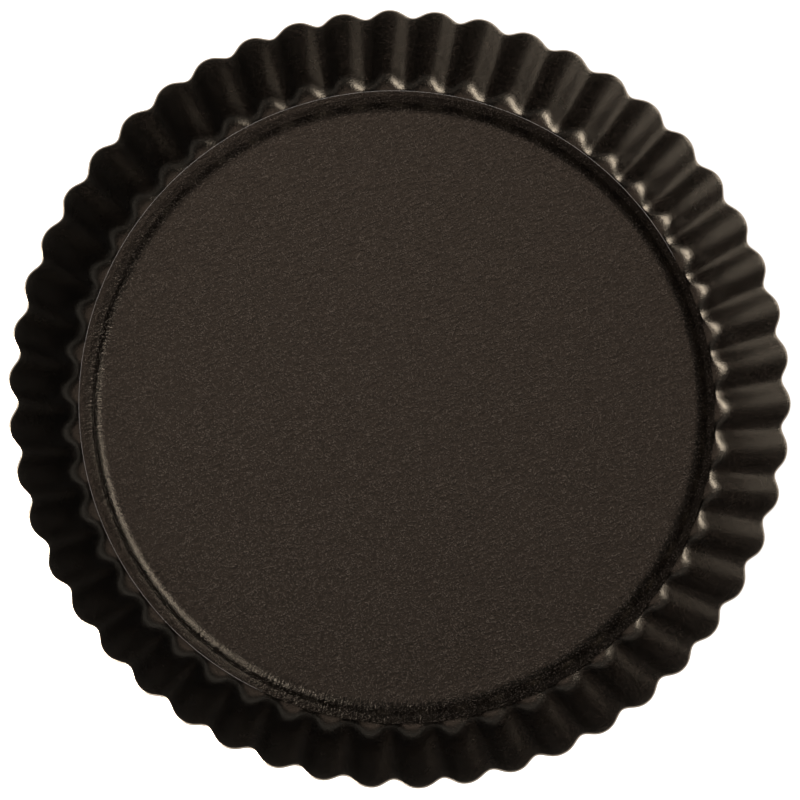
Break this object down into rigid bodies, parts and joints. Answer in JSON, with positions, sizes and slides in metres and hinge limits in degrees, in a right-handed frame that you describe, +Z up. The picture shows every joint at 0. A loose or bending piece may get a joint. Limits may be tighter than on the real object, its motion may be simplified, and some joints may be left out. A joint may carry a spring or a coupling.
{
  "type": "tart pan",
  "caption": "Round loose-bottomed tart pan: a shallow flared ring with fluted walls and a narrow inner flange, and a flat base plate with a raised centre that lifts out.",
  "frame": {"origin": "under the middle of the pan, on the surface that the ring's flange stands on", "axes": "+Z up out of the pan along its axis; +X towards the outermost line of one flute"},
  "size_m": [0.2798, 0.2794, 0.0331],
  "materials": {
    "ring_coating": "dark brown non-stick coating on thin pressed steel, satin with a fine orange peel, bare steel at the cut rim",
    "plate_coating": "dark brown non-stick coating on thin steel sheet, satin with a fine grain, bare steel at the cut edge"
  },
  "bodies": {
    "ring": {"fluted_ring": "ring_coating"},
    "base": {"base_plate": "plate_coating"}
  },
  "joints": [
    {"name": "base_lift", "type": "slide", "parent": "ring", "child": "base", "axis": [0, 0, 1], "range_m": [0, 0.045]}
  ]
}
